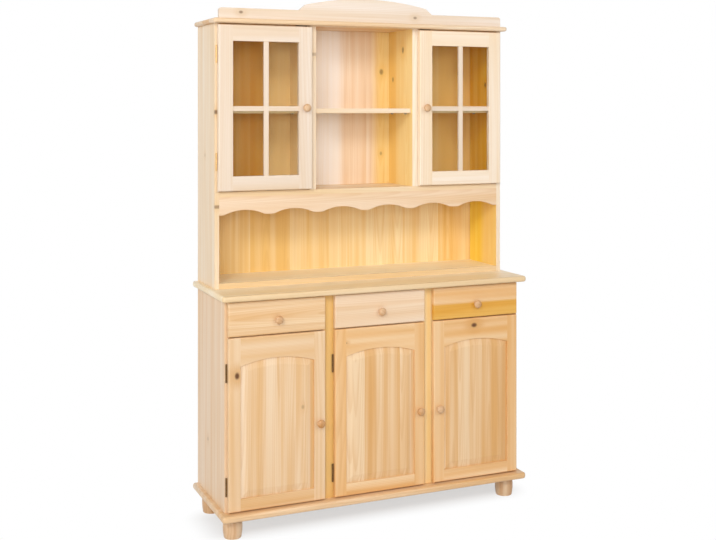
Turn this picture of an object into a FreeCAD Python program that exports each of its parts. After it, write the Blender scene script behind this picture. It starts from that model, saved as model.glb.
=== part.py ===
"""A two-piece pine dresser: a base with drawers and doors, and a glazed hutch standing on it.

Millimetres. The origin is on the floor under the middle of the whole piece, +X runs to its right side,
+Y to the wall behind it and +Z up. Every board is placed from the driving dimensions in the sheet.
"""
import FreeCAD, Part
import math
import os

import Sketcher

SIZES = [
    ("carcase_width", 1192, "outside of the sides, base and hutch alike"),
    ("base_depth", 354, "base sides, front edge to back edge"),
    ("base_height", 747, "base sides, base board to worktop"),
    ("side_thick", 17, "side boards of base and hutch"),
    ("rear_setback", 3, "back panels and boards lie this far inside the sides' back edges"),
    ("back_thick", 8, "back panels"),
    ("foot_height", 75, "turned feet"),
    ("foot_belly", 35, "largest radius of a foot"),
    ("foot_end", 31, "radius of a foot at both ends"),
    ("foot_inset", 39, "foot axis from the outside of the side"),
    ("foot_front", 30, "front foot axis behind the base's front edge"),
    ("foot_rear", 50, "rear foot axis before the base's back edge"),
    ("board_thick", 23, "base board"),
    ("board_side", 18, "base board past the sides"),
    ("board_front", 46, "base board past the base's front edge"),
    ("worktop_thick", 22, "worktop"),
    ("worktop_side", 20, "worktop past the sides"),
    ("worktop_front", 46, "worktop past the base's front edge"),
    ("corner_round", 12, "plan corners of worktop, base board and cornice"),
    ("edge_round", 8, "upper and lower edges of worktop, base board and cornice"),
    ("front_thick", 18, "drawer fronts and door frames"),
    ("front_round", 5, "front edges of drawer fronts and doors"),
    ("front_reveal", 9, "side board seen beside the outer fronts"),
    ("front_gap", 38, "post seen between two neighbouring fronts"),
    ("front_standoff", 2.5, "fronts stand this far off the carcase"),
    ("door_floor_gap", 4, "base doors above the base board"),
    ("drawer_height", 121, "drawer fronts"),
    ("door_drawer_gap", 4, "between base doors and drawer fronts"),
    ("drawer_top_gap", 5, "drawer fronts below the worktop"),
    ("post_thick", 22, "posts, front to back"),
    ("post_hinge_lap", 15, "post behind the middle fronts"),
    ("post_knob_lap", 6, "post behind the outer fronts"),
    ("partition_thick", 20, "base partitions"),
    ("rail_thick", 20, "drawer rails, height"),
    ("rail_depth", 60, "drawer rails, front to back"),
    ("shelf_thick", 18, "all loose shelves"),
    ("base_shelf_height", 300, "underside of base shelves above the base board"),
    ("base_shelf_setback", 40, "base shelves behind the front edge"),
    ("shelf_clear", 1, "gap at both ends of a loose shelf"),
    ("pin_radius", 3, "shelf pins"),
    ("pin_length", 9, "shelf pins standing out of the board"),
    ("pin_inset", 40, "shelf pins from the shelf's front and back edges"),
    ("drawer_clear", 4, "drawer box to posts and sides"),
    ("drawer_lift", 4, "drawer box above its rail"),
    ("drawer_box_drop", 29, "drawer sides lower than the drawer front"),
    ("drawer_box_length", 320, "drawer sides, front to back"),
    ("drawer_side_thick", 12, "drawer sides and back"),
    ("drawer_bottom_thick", 5, "drawer bottoms"),
    ("drawer_bottom_lift", 8, "drawer bottom above the lower edge of its sides"),
    ("runner_height", 10, "runners that carry the drawers"),
    ("runner_length", 275, "runners, front to back"),
    ("runner_lap", 5.5, "runner reaching into the drawer side's groove"),
    ("runner_end_clear", 0.5, "runner to the bottom of its groove"),
    ("slide_clear", 0.3, "runner to the groove's upper and lower faces"),
    ("stop_clear", 1, "runner to the groove's front end when the drawer is shut"),
    ("drawer_knob_height", 51, "drawer knob above the front's lower edge"),
    ("stile_wide", 44, "base door stiles"),
    ("bottom_rail_wide", 45, "base door bottom rails"),
    ("top_rail_wide", 79, "base door top rail at the crown of its arch"),
    ("arch_rise", 22, "rise of the arch in the top rail"),
    ("bevel_wide", 27, "bevel round the raised field"),
    ("panel_groove", 7, "depth of the groove that holds a panel or pane"),
    ("panel_clear", 0.3, "panel or pane to the bottom of its groove"),
    ("tongue_thick", 6, "edge of the raised panel"),
    ("tongue_back", 6, "edge of the raised panel from the door's back"),
    ("field_drop", 1, "raised field behind the door's front"),
    ("door_knob_height", 280, "base door knob above the door's lower edge"),
    ("hutch_depth", 230, "hutch sides, front edge to back edge"),
    ("hutch_height", 966, "hutch sides, worktop to cornice"),
    ("hutch_board_thick", 20, "hutch bottom board"),
    ("niche_height", 334, "worktop to the underside of the cabinet floor"),
    ("cabinet_floor_thick", 18, "floor of the glazed cabinets"),
    ("hutch_partition_thick", 26, "hutch partitions"),
    ("hutch_half_opening", 202, "half the width of the open compartment"),
    ("glass_door_lap", 4.5, "glazed doors over the hutch partitions"),
    ("glass_door_gap", 3, "glazed doors above the cabinet floor"),
    ("glass_top_gap", 4, "glazed doors below the cornice"),
    ("glass_stile_wide", 54, "glazed door stiles"),
    ("glass_bottom_rail", 54, "glazed door bottom rails"),
    ("glass_top_rail", 60, "glazed door top rails"),
    ("bar_wide", 18, "glazing bars"),
    ("bar_thick", 9, "glazing bars, front to back"),
    ("bar_setback", 2, "glazing bars behind the door's front"),
    ("pane_thick", 4, "glass"),
    ("hutch_shelf_height", 286, "underside of hutch shelves above the cabinet floor"),
    ("hutch_shelf_setback", 14, "hutch shelves behind the front edge"),
    ("apron_deep", 67, "apron at its pendants"),
    ("apron_thick", 18, "apron"),
    ("scallop_gap", 34, "flat between two scallops before the pendants are rounded"),
    ("scallop_rise", 18, "height of one scallop"),
    ("scallop_round", 26, "rounding of the pendants between scallops"),
    ("cornice_thick", 18, "cornice board"),
    ("cornice_side", 13, "cornice past the sides"),
    ("cornice_front", 38, "cornice past the hutch's front edge"),
    ("crest_thick", 18, "crest board"),
    ("crest_front", 20, "crest before the hutch's front edge"),
    ("crest_inset", 11, "crest inside the outside of the sides, at both ends"),
    ("crest_end", 38, "height of the crest at its ends"),
    ("crest_shoulder", 60, "height where the crest's arch begins"),
    ("crest_peak", 88, "height of the crest's crown"),
    ("crest_arch_half", 250, "half the span of the crest's arch"),
    ("crest_slope", 26, "run of the slope from shoulder to end"),
    ("crest_round", 10, "rounding of the crest's corners"),
    ("knob_length", 24, "knobs, front to back"),
    ("knob_radius", 15, "knob heads"),
    ("knob_foot", 9, "radius where a knob meets the wood"),
    ("knob_neck", 6.5, "radius of a knob's neck"),
    ("knob_neck_start", 5, "knob neck begins this far from the wood"),
    ("knob_neck_end", 9, "knob neck ends this far from the wood"),
    ("knob_head_start", 13, "knob head is widest from here"),
    ("knob_head_end", 15, "knob head is widest to here"),
    ("hinge_length", 65, "butt hinges"),
    ("hinge_knuckle", 20, "outer knuckles of a hinge"),
    ("hinge_barrel", 3.2, "barrel radius of a hinge"),
    ("hinge_pin", 1.5, "pin radius of a hinge"),
    ("hinge_bore_clear", 0.05, "pin to knuckle, on the radius"),
    ("hinge_leaf", 8, "width of a hinge leaf"),
    ("hinge_leaf_thick", 1.1, "thickness of a hinge leaf"),
    ("hinge_clear", 0.4, "barrel to the door's edge and end play between knuckles"),
    ("hinge_wall_clear", 0.3, "barrel to the carcase's front edge"),
    ("hinge_high", 125, "upper hinge of a base door below its top"),
    ("hinge_low", 87, "lower hinge of a base door above its bottom"),
    ("glass_hinge_end", 108, "hinges of a glazed door from its ends"),
    ("catch_wide", 40, "magnet catches"),
    ("catch_deep", 15, "magnet catches, front to back"),
    ("catch_high", 16, "magnet catches"),
    ("strike_high", 10, "strike plates"),
    ("catch_inset", 36, "middle of a catch from the door's free edge"),
    ("catch_clear", 0.3, "catch to its strike plate"),
    ("strike_thick", 1, "strike plates"),
    ("tie_wide", 40, "tie plates"),
    ("tie_thick", 2, "tie plates"),
    ("tie_below", 60, "tie plates below the worktop"),
    ("tie_above", 60, "tie plates above the hutch's bottom board"),
    ("tie_offset", 380, "tie plates from the middle"),
]

SCALLOPS = 6
FACING_FRONT = FreeCAD.Rotation(FreeCAD.Vector(1, 0, 0), 90)
LYING_ALONG_X = FreeCAD.Rotation(FreeCAD.Vector(0, 1, 0), 90)
TOUCH = 1e-6


class Length:
    """A length as the text of a sheet expression, so that sums of lengths stay bound to the sheet."""

    def __init__(self, text):
        self.text = str(text)

    def __add__(self, other):
        return Length(f"({self.text} + {text_of(other)})")

    def __sub__(self, other):
        return Length(f"({self.text} - {text_of(other)})")

    def __mul__(self, other):
        return Length(f"({self.text} * {text_of(other)})")

    def __truediv__(self, other):
        return Length(f"({self.text} / {text_of(other)})")

    def __neg__(self):
        return Length(f"(0 - {self.text})")

    def now(self):
        """The length in millimetres with the sheet as it stands."""
        return float(dims.evalExpression(self.text))


def text_of(value):
    return value.text if isinstance(value, Length) else str(value)


def number(value):
    return value.now() if isinstance(value, Length) else float(value)


def root(square):
    return Length(f"sqrt({square.text})")


doc = FreeCAD.newDocument("pine_dresser")
dims = doc.addObject("Spreadsheet::Sheet", "dims")
for row, (alias, value, note) in enumerate(SIZES, start=1):
    dims.set(f"A{row}", alias)
    dims.set(f"B{row}", str(value))
    dims.set(f"C{row}", note)
    dims.setAlias(f"B{row}", alias)
doc.recompute()


class Sizes:
    """The sheet's lengths by name."""

    def __getattr__(self, alias):
        return Length(f"dims.{alias}")


s = Sizes()
nodes = []


def place(thing, corner):
    for axis, length in zip("xyz", corner):
        thing.setExpression(f"Placement.Base.{axis}", text_of(length))
    return thing


def box(name, corner, size):
    """A plain board with its low corner at corner."""
    board = doc.addObject("Part::Box", name)
    for side, length in zip(("Length", "Width", "Height"), size):
        board.setExpression(side, text_of(length))
    return place(board, corner)


def cylinder(name, base, radius, height, turn=FreeCAD.Rotation()):
    rod = doc.addObject("Part::Cylinder", name)
    rod.setExpression("Radius", text_of(radius))
    rod.setExpression("Height", text_of(height))
    rod.Placement = FreeCAD.Placement(FreeCAD.Vector(), turn)
    return place(rod, base)


def fuse(name, members):
    whole = doc.addObject("Part::MultiFuse", name)
    whole.Shapes = members
    whole.Refine = True
    return whole


def cut(name, base, tool):
    rest = doc.addObject("Part::Cut", name)
    rest.Base = base
    rest.Tool = tool
    return rest


def node(label, *members):
    """One named piece, or one named group of separate pieces."""
    if len(members) == 1:
        piece = members[0]
    else:
        piece = doc.addObject("Part::Compound", f"{label}_group")
        piece.Links = list(members)
    piece.Label = label
    nodes.append(piece)
    return piece


def edges_where(feature, wanted):
    """Names of the edges whose two end points pass the test, which gets the points and the bounding box."""
    bounds = feature.Shape.BoundBox
    names = []
    for index, edge in enumerate(feature.Shape.Edges, start=1):
        ends = [vertex.Point for vertex in edge.Vertexes]
        if wanted(ends, bounds):
            names.append(f"Edge{index}")
    return names


def round_edges(body, name, feature, radius, wanted):
    doc.recompute()
    rounding = body.newObject("PartDesign::Fillet", name)
    rounding.Base = (feature, edges_where(feature, wanted))
    rounding.setExpression("Radius", text_of(radius))
    return rounding


def all_at(ends, axis, level):
    return all(abs(getattr(point, axis) - level) < TOUCH for point in ends)


def block_body(name, corner, size):
    """A board that gets further work: its body and its first feature."""
    body = doc.addObject("PartDesign::Body", name)
    block = body.newObject("PartDesign::AdditiveBox", f"{name}_block")
    for side, length in zip(("Length", "Width", "Height"), size):
        block.setExpression(side, text_of(length))
    place(body, corner)
    return body, block


def front_board(name, corner, size, square_sides=()):
    """A board with rounded front edges, apart from the sides named: low or high x, low or high z."""
    def rounded(ends, bounds):
        square = {"left": all_at(ends, "x", bounds.XMin), "right": all_at(ends, "x", bounds.XMax),
                  "bottom": all_at(ends, "z", bounds.ZMin), "top": all_at(ends, "z", bounds.ZMax)}
        return all_at(ends, "y", bounds.YMin) and not any(square[side] for side in square_sides)

    body, block = block_body(name, corner, size)
    round_edges(body, f"{name}_edges", block, s.front_round, rounded)
    return body


def moulded_board(name, corner, size):
    """A board with rounded front corners and softly rounded edges on its front and both ends."""
    def front_corner(ends, bounds):
        upright = abs(ends[0].z - ends[1].z) > TOUCH
        return upright and all_at(ends, "y", bounds.YMin)

    def shown_edge(ends, bounds):
        level = abs(ends[0].z - ends[-1].z) < TOUCH
        return level and not all_at(ends, "y", bounds.YMax)

    body, block = block_body(name, corner, size)
    corners = round_edges(body, f"{name}_corners", block, s.corner_round, front_corner)
    round_edges(body, f"{name}_edges", corners, s.edge_round, shown_edge)
    return body


def sketch_on(body, name, offset=0):
    """A sketch in the body's upright plane, seen from the front, moved towards the front by offset."""
    sketch = body.newObject("Sketcher::SketchObject", name)
    upright = [plane for plane in body.Origin.OriginFeatures if plane.Role == "XZ_Plane"][0]
    sketch.AttachmentSupport = [(upright, "")]
    sketch.MapMode = "FlatFace"
    sketch.setExpression("AttachmentOffset.Base.z", text_of(offset))
    return sketch


def pin_point(sketch, edge, end, point):
    """Fix one end of an edge at point, bound to the sheet."""
    for kind, axis, length in (("DistanceX", -2, point[0]), ("DistanceY", -1, point[1])):
        if isinstance(length, Length):
            index = sketch.addConstraint(Sketcher.Constraint(kind, -1, 1, edge, end, length.now()))
            sketch.setExpression(f"Constraints[{index}]", length.text)
        else:
            sketch.addConstraint(Sketcher.Constraint("PointOnObject", edge, end, axis))


def arc_between(start, end, radius):
    """The short arc from start to end that turns left on its way."""
    chord = end - start
    rise = math.sqrt(max(radius ** 2 - (chord.Length / 2) ** 2, 0))
    left = FreeCAD.Vector(-chord.y, chord.x, 0) / chord.Length
    centre = (start + end) / 2 + left * rise
    first = math.atan2(start.y - centre.y, start.x - centre.x)
    last = math.atan2(end.y - centre.y, end.x - centre.x)
    return Part.ArcOfCircle(Part.Circle(centre, FreeCAD.Vector(0, 0, 1), radius), first, last)


def outline(sketch, points, arcs=None):
    """A closed outline through points. arcs gives the radius of each edge that is round, by its start."""
    arcs = arcs or {}
    spots = [FreeCAD.Vector(number(across), number(up), 0) for across, up in points]
    count = len(points)
    edges = []
    starts = []
    for index in range(count):
        start, end = spots[index], spots[(index + 1) % count]
        radius = arcs.get(index)
        if radius is None:
            edges.append(sketch.addGeometry(Part.LineSegment(start, end)))
            starts.append((1, 2))
        elif number(radius) > 0:
            edges.append(sketch.addGeometry(arc_between(start, end, number(radius))))
            starts.append((1, 2))
        else:
            edges.append(sketch.addGeometry(arc_between(end, start, -number(radius))))
            starts.append((2, 1))
    for index in range(count):
        following = (index + 1) % count
        joint = (edges[index], starts[index][1], edges[following], starts[following][0])
        sketch.addConstraint(Sketcher.Constraint("Coincident", *joint))
        pin_point(sketch, edges[index], starts[index][0], points[index])
        if index in arcs:
            size = abs(number(arcs[index]))
            bound = arcs[index] if number(arcs[index]) > 0 else -arcs[index]
            place_of = sketch.addConstraint(Sketcher.Constraint("Radius", edges[index], size))
            sketch.setExpression(f"Constraints[{place_of}]", bound.text)
    return sketch


def pad(body, name, sketch, thickness):
    feature = body.newObject("PartDesign::Pad", name)
    feature.Profile = sketch
    feature.setExpression("Length", text_of(thickness))
    return feature


def turned(name, profile, arcs, spot, turn=FreeCAD.Rotation()):
    """A turned piece: its half profile swung round the upright axis, then placed at spot."""
    body = doc.addObject("PartDesign::Body", name)
    sketch = outline(sketch_on(body, f"{name}_profile"), profile, arcs)
    swing = body.newObject("PartDesign::Revolution", f"{name}_swing")
    swing.Profile = sketch
    swing.ReferenceAxis = (sketch, ["V_Axis"])
    swing.Angle = 360
    body.Placement = FreeCAD.Placement(FreeCAD.Vector(), turn)
    return place(body, spot)


def span(sign, near, far):
    """Low x and width of a stretch from near to far on the right (sign 1) or the left (sign -1)."""
    return (near if sign > 0 else -far), far - near


# Levels and planes shared by all pieces
half = s.carcase_width / 2
y_back = (s.base_depth + s.worktop_front) / 2
y_base = y_back - s.base_depth
y_hutch = y_back - s.hutch_depth
y_rear = y_back - s.rear_setback
y_panel = y_rear - s.back_thick
y_door_back = y_base - s.front_standoff
y_door_front = y_door_back - s.front_thick
y_glass_back = y_hutch - s.front_standoff
y_glass_front = y_glass_back - s.front_thick

z_board = s.foot_height
z_base = z_board + s.board_thick
z_worktop = z_base + s.base_height
z_hutch = z_worktop + s.worktop_thick
z_cabinet = z_hutch + s.niche_height
z_cabinet_top = z_cabinet + s.cabinet_floor_thick
z_cornice = z_hutch + s.hutch_height
z_crest = z_cornice + s.cornice_thick
z_door = z_base + s.door_floor_gap
z_drawer = z_worktop - s.drawer_top_gap - s.drawer_height
z_door_top = z_drawer - s.door_drawer_gap
door_height = z_door_top - z_door
drawer_box_height = s.drawer_height - s.drawer_box_drop
z_rail = z_door_top + s.door_drawer_gap / 2 - s.rail_thick / 2
z_box = z_rail + s.rail_thick + s.drawer_lift
z_glass_door = z_cabinet_top + s.glass_door_gap
glass_door_height = z_cornice - s.glass_top_gap - z_glass_door

inside = half - s.side_thick
front_width = (s.carcase_width - s.front_reveal * 2 - s.front_gap * 2) / 3
front_pitch = front_width + s.front_gap
post_near = front_width / 2 - s.post_hinge_lap
post_far = front_width / 2 + s.front_gap + s.post_knob_lap
post_middle = (post_near + post_far) / 2
partition_near = post_middle - s.partition_thick / 2
partition_far = post_middle + s.partition_thick / 2
hutch_partition_far = s.hutch_half_opening + s.hutch_partition_thick
glass_far = half - s.front_reveal
glass_near = hutch_partition_far - s.glass_door_lap

hinge_offset = s.hinge_barrel + s.hinge_clear
hinge_forward = s.hinge_barrel + s.hinge_wall_clear

SIDES = (("left", -1), ("right", 1))
# Each bay: its name, the low x of its front, its opening between posts, and the faces that carry its runners
BAYS = (
    ("left", -half + s.front_reveal, (-inside, -post_far), (-inside, -partition_far)),
    ("middle", -front_width / 2, (-post_near, post_near), (-partition_near, partition_near)),
    ("right", half - s.front_reveal - front_width, (post_far, inside), (partition_far, inside)),
)


def build_base_carcase():
    for side, sign in SIDES:
        low, wide = span(sign, inside, half)
        node(f"base_side_{side}", box(f"base_side_{side}_board", (low, y_base, z_base),
                                      (wide, s.base_depth, s.base_height)))
        low, wide = span(sign, partition_near, partition_far)
        y_behind_post = y_base + s.post_thick
        node(f"base_partition_{side}", box(f"base_partition_{side}_board", (low, y_behind_post, z_base),
                                           (wide, y_panel - y_behind_post, s.base_height)))
    posts = []
    for side, sign in SIDES:
        low, wide = span(sign, post_near, post_far)
        posts.append(box(f"base_post_{side}", (low, y_base, z_base), (wide, s.post_thick, s.base_height)))
    node("base_posts", *posts)
    node("base_board", moulded_board("base_board_body", (-half - s.board_side, y_base - s.board_front, z_board),
                                     (s.carcase_width + s.board_side * 2, s.base_depth + s.board_front,
                                      s.board_thick)))
    node("worktop", moulded_board("worktop_body",
                                  (-half - s.worktop_side, y_base - s.worktop_front, z_worktop),
                                  (s.carcase_width + s.worktop_side * 2, y_rear - y_base + s.worktop_front,
                                   s.worktop_thick)))
    node("base_back_panel", box("base_back_board", (-inside, y_panel, z_base),
                                (inside * 2, s.back_thick, s.base_height)))
    rails = []
    shelves = []
    for bay, _, opening, faces in BAYS:
        rails.append(box(f"drawer_rail_{bay}", (opening[0], y_base, z_rail),
                         (opening[1] - opening[0], s.rail_depth, s.rail_thick)))
        shelves.append(box(f"base_shelf_{bay}",
                           (faces[0] + s.shelf_clear, y_base + s.base_shelf_setback, z_base + s.base_shelf_height),
                           (faces[1] - faces[0] - s.shelf_clear * 2, y_panel - y_base - s.base_shelf_setback,
                            s.shelf_thick)))
    node("drawer_rails", *rails)
    node("base_shelves", *shelves)


def build_feet():
    end, tall, belly = s.foot_end, s.foot_height, s.foot_belly
    bulge = belly - end
    curve = (tall * tall / 4 + bulge * bulge) / (bulge * 2)
    profile = [(0, 0), (end, 0), (end, tall), (0, tall)]
    feet = []
    for side, sign in SIDES:
        axis_x = (half - s.foot_inset) * sign
        for row, axis_y in (("front", y_base + s.foot_front), ("back", y_back - s.foot_rear)):
            feet.append(turned(f"foot_{row}_{side}", profile, {1: curve}, (axis_x, axis_y, 0)))
    node("feet", *feet)


def knob(label, x, y, z):
    """A turned knob standing on a front at y, its foot, neck and domed head along -Y."""
    dome = s.knob_length - s.knob_head_end
    curve = (s.knob_radius * s.knob_radius + dome * dome) / (dome * 2)
    profile = [(0, 0), (s.knob_foot, 0), (s.knob_neck, s.knob_neck_start), (s.knob_neck, s.knob_neck_end),
               (s.knob_radius, s.knob_head_start), (s.knob_radius, s.knob_head_end), (0, s.knob_length)]
    node(label, turned(f"{label}_body", profile, {5: curve}, (x, y, z), FACING_FRONT))


def build_drawers():
    runners = []
    y_runner = y_base + s.post_thick
    z_runner = z_box + drawer_box_height / 2 - s.runner_height / 2
    groove_deep = s.runner_lap + s.runner_end_clear
    y_groove = y_runner - s.stop_clear
    groove_size = (groove_deep, s.drawer_box_length, s.runner_height + s.slide_clear * 2)
    for bay, front_low, opening, faces in BAYS:
        name = f"drawer_{bay}"
        node(f"{name}_front", front_board(f"{name}_front_body", (front_low, y_door_front, z_drawer),
                                          (front_width, s.front_thick, s.drawer_height)))
        box_low = opening[0] + s.drawer_clear
        box_high = opening[1] - s.drawer_clear
        z_groove = z_runner - s.slide_clear
        side_size = (s.drawer_side_thick, s.drawer_box_length, drawer_box_height)
        left = cut(f"{name}_side_left", box(f"{name}_left_board", (box_low, y_door_back, z_box), side_size),
                   box(f"{name}_left_groove", (box_low, y_groove, z_groove), groove_size))
        right = cut(f"{name}_side_right",
                    box(f"{name}_right_board", (box_high - s.drawer_side_thick, y_door_back, z_box), side_size),
                    box(f"{name}_right_groove", (box_high - groove_deep, y_groove, z_groove), groove_size))
        between = box_low + s.drawer_side_thick
        inner_wide = box_high - box_low - s.drawer_side_thick * 2
        inner_long = s.drawer_box_length - s.drawer_side_thick
        back = box(f"{name}_back", (between, y_door_back + inner_long, z_box),
                   (inner_wide, s.drawer_side_thick, drawer_box_height))
        bottom = box(f"{name}_bottom", (between, y_door_back, z_box + s.drawer_bottom_lift),
                     (inner_wide, inner_long, s.drawer_bottom_thick))
        node(f"{name}_box", left, right, back, bottom)
        knob(f"{name}_knob", front_low + front_width / 2, y_door_front, z_drawer + s.drawer_knob_height)
        runner_left = box_low + s.runner_lap - faces[0]
        runner_right = faces[1] - box_high + s.runner_lap
        runners.append(box(f"runner_{bay}_left", (faces[0], y_runner, z_runner),
                           (runner_left, s.runner_length, s.runner_height)))
        runners.append(box(f"runner_{bay}_right", (faces[1] - runner_right, y_runner, z_runner),
                           (runner_right, s.runner_length, s.runner_height)))
    node("drawer_runners", *runners)


def arched_outline(body, name, grow, offset):
    """The base door's panel opening, grown on every side, in the door's own frame from its lower left."""
    reach = (front_width - s.stile_wide * 2) / 2
    curve = (reach * reach + s.arch_rise * s.arch_rise) / (s.arch_rise * 2)
    crown = door_height - s.top_rail_wide
    grown_curve = curve + grow
    grown_reach = reach + grow
    spring = crown - curve + root(grown_curve * grown_curve - grown_reach * grown_reach)
    left = s.stile_wide - grow
    right = front_width - s.stile_wide + grow
    low = s.bottom_rail_wide - grow
    points = [(left, low), (right, low), (right, spring), (left, spring)]
    return outline(sketch_on(body, name, offset), points, {2: grown_curve})


def arched_rail(name, corner):
    """The top rail of a base door, its lower edge cut to the arch and its upper front edge rounded."""
    body = doc.addObject("PartDesign::Body", name)
    reach = (front_width - s.stile_wide * 2) / 2
    curve = (reach * reach + s.arch_rise * s.arch_rise) / (s.arch_rise * 2)
    left, right = s.stile_wide, front_width - s.stile_wide
    spring = door_height - s.top_rail_wide - s.arch_rise
    points = [(left, spring), (right, spring), (right, door_height), (left, door_height)]
    sketch = outline(sketch_on(body, f"{name}_outline"), points, {0: -curve})
    board = pad(body, f"{name}_board", sketch, s.front_thick)

    def upper_front(ends, bounds):
        return all_at(ends, "y", bounds.YMin) and all_at(ends, "z", bounds.ZMax)

    round_edges(body, f"{name}_edge", board, s.front_round, upper_front)
    return place(body, corner)


def raised_panel(name, corner):
    """The panel of a base door: a thin edge that sits in the frame's groove and a bevel up to the field."""
    body = doc.addObject("PartDesign::Body", name)
    tongue = arched_outline(body, f"{name}_edge_outline", s.panel_groove - s.panel_clear, s.tongue_back)
    pad(body, f"{name}_edge", tongue, s.tongue_thick)
    foot = arched_outline(body, f"{name}_bevel_foot", -s.panel_clear, s.tongue_back + s.tongue_thick)
    head = arched_outline(body, f"{name}_bevel_head", -s.bevel_wide, s.front_thick - s.field_drop)
    bevel = body.newObject("PartDesign::AdditiveLoft", f"{name}_bevel")
    bevel.Profile = foot
    bevel.Sections = [head]
    bevel.Ruled = True
    return place(body, corner)


def hinge(name, axis_x, sign, y_plane, z_middle):
    """A butt hinge whose barrel stands before y_plane. sign is the way its leaves reach from the barrel.

    Returns the leaf on the carcase, the pin and the leaf on the door.
    """
    axis_y = y_plane - hinge_forward
    z_low = z_middle - s.hinge_length / 2
    inner_low = z_low + s.hinge_knuckle + s.hinge_clear
    inner_tall = s.hinge_length - s.hinge_knuckle * 2 - s.hinge_clear * 2
    outer = ((z_low, s.hinge_knuckle), (z_low + s.hinge_length - s.hinge_knuckle, s.hinge_knuckle))
    inner = ((inner_low, inner_tall),)
    bore_radius = s.hinge_pin + s.hinge_bore_clear

    def leaf(kind, y_low, knuckles):
        reach = hinge_offset + s.hinge_leaf
        plate_x = axis_x + hinge_offset if sign > 0 else axis_x - reach
        tab_x = axis_x if sign > 0 else axis_x - hinge_offset
        parts = [box(f"{name}_{kind}_plate", (plate_x, y_low, z_low),
                     (s.hinge_leaf, s.hinge_leaf_thick, s.hinge_length))]
        for index, (low, tall) in enumerate(knuckles):
            parts.append(box(f"{name}_{kind}_tab_{index}", (tab_x, y_low, low),
                             (hinge_offset, s.hinge_leaf_thick, tall)))
            parts.append(cylinder(f"{name}_{kind}_knuckle_{index}", (axis_x, axis_y, low), s.hinge_barrel, tall))
        bore = cylinder(f"{name}_{kind}_bore", (axis_x, axis_y, z_low), bore_radius, s.hinge_length)
        return cut(f"{name}_{kind}", fuse(f"{name}_{kind}_solid", parts), bore)

    fixed = leaf("fixed", y_plane - s.hinge_leaf_thick, outer)
    moving = leaf("moving", y_plane - s.front_standoff, inner)
    pin = cylinder(f"{name}_pin", (axis_x, axis_y, z_low), s.hinge_pin, s.hinge_length)
    return fixed, pin, moving


def catch_and_strike(name, free_edge, sign, y_plane, z_top):
    """A magnet catch hung under z_top and the strike plate on the door's back. sign points into the door."""
    middle = free_edge + s.catch_inset * sign
    low = middle - s.catch_wide / 2
    z_low = z_top - s.catch_high
    y_strike = y_plane - s.front_standoff
    y_catch = y_strike + s.strike_thick + s.catch_clear
    catch = box(f"{name}_catch", (low, y_catch, z_low), (s.catch_wide, s.catch_deep, s.catch_high))
    strike = box(f"{name}_strike", (low, y_strike, z_low), (s.catch_wide, s.strike_thick, s.strike_high))
    return catch, strike


def fittings_for(name, low, high, hung_on, y_plane, heights, z_catch):
    """Both hinges, the catch and the strike of one door between low and high x. Returns what stays put."""
    sign = 1 if hung_on == "left" else -1
    axis_x = low - hinge_offset if sign > 0 else high + hinge_offset
    free_edge = high if sign > 0 else low
    catch, strike = catch_and_strike(name, free_edge, -sign, y_plane, z_catch)
    leaves, pins, moving = [], [], []
    for where, height in zip(("low", "high"), heights):
        fixed, pin, door_leaf = hinge(f"{name}_hinge_{where}", axis_x, sign, y_plane, height)
        leaves.append(fixed)
        pins.append(pin)
        moving.append(door_leaf)
    node(f"{name}_fittings", *moving, strike)
    return leaves, pins, catch


def build_base_doors():
    leaves, pins, catches = [], [], []
    for (bay, low, _, _), hung_on in zip(BAYS, ("left", "left", "right")):
        name = f"door_{bay}"
        corner = (low, y_door_back, z_door)
        groove_body = doc.addObject("PartDesign::Body", f"{name}_groove")
        groove = arched_outline(groove_body, f"{name}_groove_outline", s.panel_groove,
                                s.tongue_back - s.panel_clear)
        pad(groove_body, f"{name}_groove_pad", groove, s.tongue_thick + s.panel_clear * 2)
        place(groove_body, corner)
        stile_size = (s.stile_wide, s.front_thick, door_height)
        rail_wide = front_width - s.stile_wide * 2
        boards = {
            "stile_left": front_board(f"{name}_stile_left_body", (low, y_door_front, z_door), stile_size,
                                      ("right",)),
            "stile_right": front_board(f"{name}_stile_right_body",
                                       (low + front_width - s.stile_wide, y_door_front, z_door), stile_size,
                                       ("left",)),
            "rail_bottom": front_board(f"{name}_rail_bottom_body", (low + s.stile_wide, y_door_front, z_door),
                                       (rail_wide, s.front_thick, s.bottom_rail_wide),
                                       ("left", "right", "top")),
            "rail_top": arched_rail(f"{name}_rail_top_body", corner),
        }
        frame = [cut(f"{name}_{part}", board, groove_body) for part, board in boards.items()]
        node(f"{name}_frame", *frame)
        node(f"{name}_panel", raised_panel(f"{name}_panel_body", corner))
        high = low + front_width
        knob_x = high - s.stile_wide / 2 if hung_on == "left" else low + s.stile_wide / 2
        knob(f"{name}_knob", knob_x, y_door_front, z_door + s.door_knob_height)
        heights = (z_door + s.hinge_low, z_door_top - s.hinge_high)
        fixed, pivot, catch = fittings_for(name, low, high, hung_on, y_base, heights, z_rail)
        leaves += fixed
        pins += pivot
        catches.append(catch)
    return leaves, pins, catches


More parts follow.
